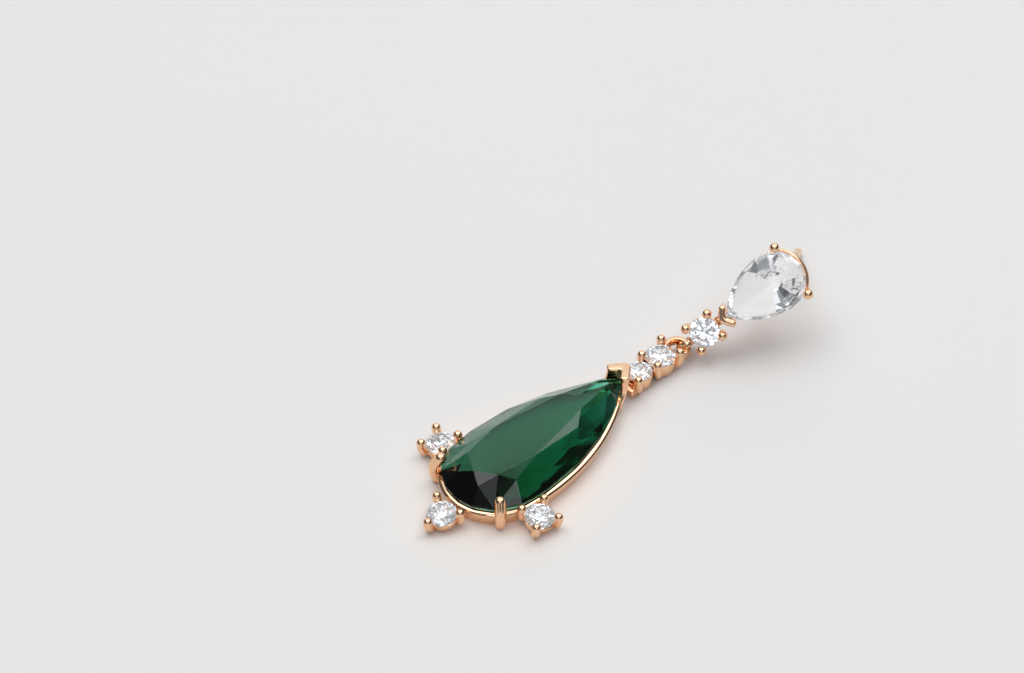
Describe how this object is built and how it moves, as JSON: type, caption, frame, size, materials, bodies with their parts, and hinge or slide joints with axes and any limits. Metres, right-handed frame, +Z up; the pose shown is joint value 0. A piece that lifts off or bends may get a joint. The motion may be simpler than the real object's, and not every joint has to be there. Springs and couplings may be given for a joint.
{
  "type": "drop earring",
  "caption": "Lying drop earring: a long green pear in a warm gold bezel with small clear stones, hung from a clear pear on an ear post.",
  "frame": {"origin": "middle of the lying earring's footprint, on the surface that it lies on", "axes": "+Z up from the surface, +Y along the drop from its round end towards the ear post"},
  "size_m": [0.0176, 0.0526, 0.0113],
  "materials": {
    "gold": "polished rose gold plating",
    "green_stone": "polished facets",
    "clear_stone": "polished facets"
  },
  "bodies": {
    "root": {"upper_frame": "gold", "drop_frame": "gold", "green_pear_stone": "green_stone", "clear_pear_stone": "clear_stone", "round_stone_1": "clear_stone", "round_stone_2": "clear_stone", "round_stone_3": "clear_stone", "round_stone_4": "clear_stone", "round_stone_5": "clear_stone", "round_stone_6": "clear_stone"}
  },
  "joints": []
}
